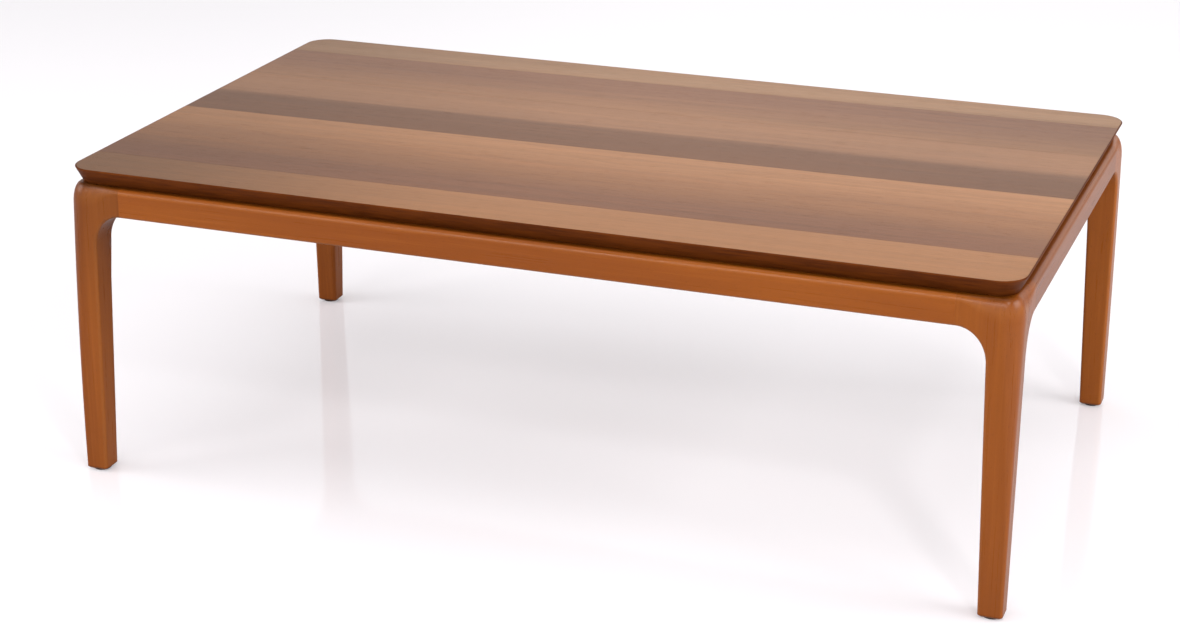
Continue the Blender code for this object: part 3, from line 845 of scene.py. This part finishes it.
glideLook = {
    "dark": (24, 21, 19),
    "pale": (46, 40, 36),
    "speck": ((900, 900, 900), 2.0),
    "roughness": 0.55,
    "speckGloss": 0.2,
    "reliefDepth": 0.00003,
    "metallic": 0.0,
}
screwLook = {
    "dark": (150, 148, 140),
    "pale": (196, 196, 192),
    "speck": ((700, 700, 700), 3.0),
    "roughness": 0.32,
    "speckGloss": 0.2,
    "reliefDepth": 0.00002,
    "metallic": 1.0,
}


def speckledFinish(name, look):
    material, desk = newFinish(name)
    spot = desk.node("TexCoord", output="Object")
    speck = desk.noise(spot, *look["speck"])
    tone = desk.mix(speck, screen(*look["dark"]), screen(*look["pale"]))
    gloss = look["roughness"] + (speck - 0.5) * look["speckGloss"]
    closeFinish(desk, {"Metallic": look["metallic"]}, tone, gloss, bump(desk, speck, look["reliefDepth"]))
    return material


finishOf = {
    "top_core": plainWoodFinish("coreBoard", plainWoodLook),
    "top_backing": plainWoodFinish("backingVeneer", plainWoodLook),
    "dowel": plainWoodFinish("plainBeechDowel", plainWoodLook),
    "top_screw": speckledFinish("zincPlatedSteel", screwLook),
    "glide": speckledFinish("darkGlidePad", glideLook),
}
for node in nodes:
    for start, finish in finishOf.items():
        if node.startswith(start):
            dress(node, finish)
print("fixings and glides finished")


studioLook = {
    "floorSize": 60.0,
    "floorGlow": 0.255,          # the floor looks white in the picture ...
    "floorTint": (1.0, 0.968, 1.0, 1.0),
    "floorColour": (0.90, 0.87, 0.90, 1.0),
    "floorRoughness": 0.07,
    "floorSpecular": 0.65,
    "floorBounce": (0.55, 0.53, 0.55, 1.0),   # ... but throws back light as a mid grey one
    "bounceRoughness": 0.6,
    "sideGlow": 0.26,            # the floor beside the right end is lit more ...
    "sideStart": (0.45, 0.8),    # ... from here in x
    "sideEnd": (1.6, 2.6),       # ... to this far from the middle
    "worldLow": 1.02,            # brightness near the horizon and overhead
    "worldHigh": 0.02,
    "worldRise": (0.25, 0.75),   # upward shares of a direction between which one turns into the other
    "worldLeft": 0.72,           # share of that brightness towards the left
    "worldTurn": (-0.50, -0.25),
    "lamps": {
        "overheadSoftbox": {
            "place": (0.0, 0.0, 4.0), "aim": (0.0, 0.0, 0.0), "size": (4.0, 4.0), "power": 76},
        "leftSoftbox": {
            "place": (-4.0, -1.5, 2.2), "aim": (0.0, 0.0, 0.3), "size": (2.5, 2.5), "power": 68},
        "rightSoftbox": {
            "place": (4.4, -0.3, 2.2), "aim": (0.0, 0.0, 0.2), "size": (3.0, 2.0), "power": 104},
        "frontStrip": {
            "place": (-0.4, -3.5, 2.30), "aim": (0.0, -0.35, 0.4), "size": (4.5, 0.42), "power": 56},
        "cornerLight": {
            "place": (2.1, -2.75, 2.9), "aim": (0.0, 0.0, 0.3), "size": (0.35, 0.35), "power": 25},
    },
}


def makeFloor(look):
    half = look["floorSize"] / 2
    corners = [(-half, -half, 0), (half, -half, 0), (half, half, 0), (-half, half, 0)]
    mesh = bpy.data.meshes.new("studioFloor")
    mesh.from_pydata(corners, [], [(0, 1, 2, 3)])
    floor = bpy.data.objects.new("studioFloor", mesh)
    bpy.context.scene.collection.objects.link(floor)
    material, desk = newFinish("paleFloor")
    spot = desk.node("TexCoord", output="Object")
    gone = desk.node("VectorMath", {"operation": "LENGTH"}, {0: spot}, "Value")
    glow = desk.between(desk.axis(spot, "X"), *look["sideStart"], 0.0, look["sideGlow"])
    glow = glow * desk.between(gone, *look["sideEnd"], 1.0, 0.0)
    plain = desk.node("BsdfPrincipled", None, {
        "Base Color": look["floorBounce"], "Roughness": look["bounceRoughness"],
        "Specular IOR Level": 0.0,
        "Emission Color": desk.colour(glow, glow, glow), "Emission Strength": 1.0})
    bright = desk.node("BsdfPrincipled", None, {
        "Base Color": look["floorColour"], "Roughness": look["floorRoughness"],
        "Specular IOR Level": look["floorSpecular"],
        "Emission Color": look["floorTint"], "Emission Strength": look["floorGlow"]})
    seen = desk.node("LightPath", output="Is Camera Ray")
    desk.node("OutputMaterial", None, {
        "Surface": desk.node("MixShader", None, {0: seen, 1: plain, 2: bright})})
    mesh.materials.append(material)


def makeWorld(look):
    world = bpy.data.worlds.new("softStudio")
    bpy.context.scene.world = world
    world.use_nodes = True
    desk = NodeDesk(world.node_tree)
    way = desk.node("TexCoord", output="Generated")
    level = desk.between(desk.axis(way, "Z"), *look["worldRise"], look["worldLow"], look["worldHigh"])
    level = level * desk.between(desk.axis(way, "X"), *look["worldTurn"], look["worldLeft"], 1.0)
    glow = desk.node("Background", None, {"Color": (1, 1, 1, 1), "Strength": level})
    desk.node("OutputWorld", None, {"Surface": glow})


def makeLamp(name, look):
    data = bpy.data.lights.new(name, "AREA")
    data.shape = "RECTANGLE"
    data.size, data.size_y = look["size"]
    data.energy = look["power"]
    lamp = bpy.data.objects.new(name, data)
    lamp.visible_camera = False
    place, aim = Vector(look["place"]), Vector(look["aim"])
    turn = (aim - place).to_track_quat("-Z", "Y").to_matrix().to_4x4()
    lamp.matrix_world = Matrix.Translation(place) @ turn
    bpy.context.scene.collection.objects.link(lamp)


makeFloor(studioLook)
makeWorld(studioLook)
for name, look in studioLook["lamps"].items():
    makeLamp(name, look)
bpy.context.scene.view_settings.view_transform = "Standard"
print("floor and light set")

bpy.context.view_layer.update()
